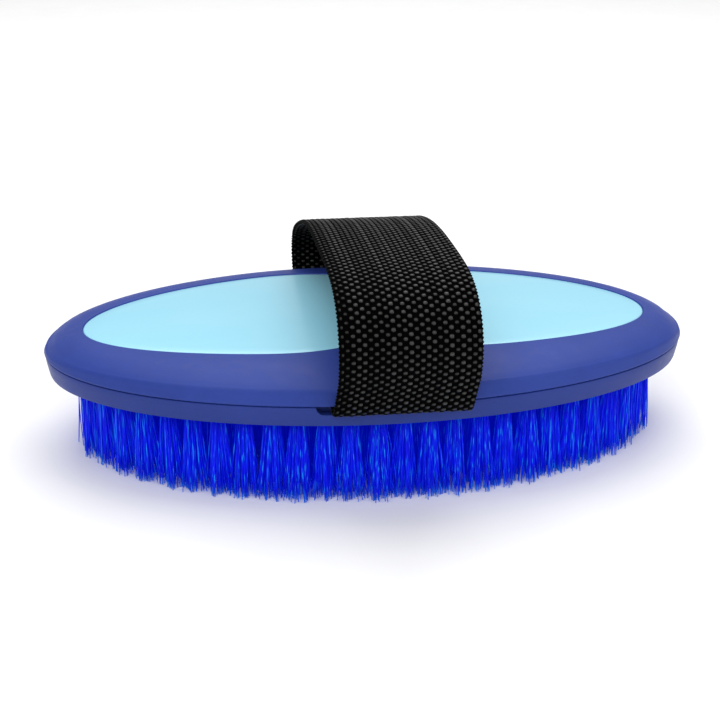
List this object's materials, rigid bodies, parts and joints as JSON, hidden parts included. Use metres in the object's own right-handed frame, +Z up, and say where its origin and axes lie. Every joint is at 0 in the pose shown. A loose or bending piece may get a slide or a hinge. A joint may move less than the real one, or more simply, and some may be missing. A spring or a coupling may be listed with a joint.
{
  "type": "oval horse body brush",
  "caption": "Oval grooming brush with a soft rubber rim over a hard shell, bristle tufts in an oval block, and a webbing hand strap across the top.",
  "frame": {"origin": "on the ground under the centre of the brush, which stands on its bristles", "axes": "+X along the brush's length, +Y across it in the direction of the strap, +Z up through the strap"},
  "size_m": [0.2, 0.126, 0.0678],
  "materials": {
    "panel_plastic": "smooth pale blue moulded plastic with a soft sheen",
    "rim_rubber": "satin dark blue soft rubber moulded over the shell",
    "block_plastic": "satin dark blue moulded plastic",
    "webbing": "black woven polypropylene webbing with a ribbed face and scalloped edges",
    "bristle": "bright blue plastic filament, paler at the cut ends",
    "steel": "zinc plated steel"
  },
  "bodies": {
    "brush": {"top_shell": "panel_plastic", "grip_rim": "rim_rubber", "base_plate": "block_plastic", "strap_clamp_front": "steel", "strap_clamp_back": "steel", "strap_screws_front": "steel", "strap_screws_back": "steel", "shell_screws": "steel", "tufts_ring_1": "bristle", "tufts_ring_2": "bristle", "tufts_ring_3": "bristle", "tufts_ring_4": "bristle", "tufts_ring_5": "bristle", "tufts_centre_row": "bristle", "staples_ring_1": "steel", "staples_ring_2": "steel", "staples_ring_3": "steel", "staples_ring_4": "steel", "staples_ring_5": "steel", "staples_centre_row": "steel"},
    "strap": {"hand_strap": "webbing"}
  },
  "joints": [
    {"name": "strap_flex", "type": "slide", "parent": "brush", "child": "strap", "axis": [0, 0, 1], "range_m": [-0.014, 0], "stiffness_N_per_m": 400, "deforming": ["hand_strap"]}
  ]
}
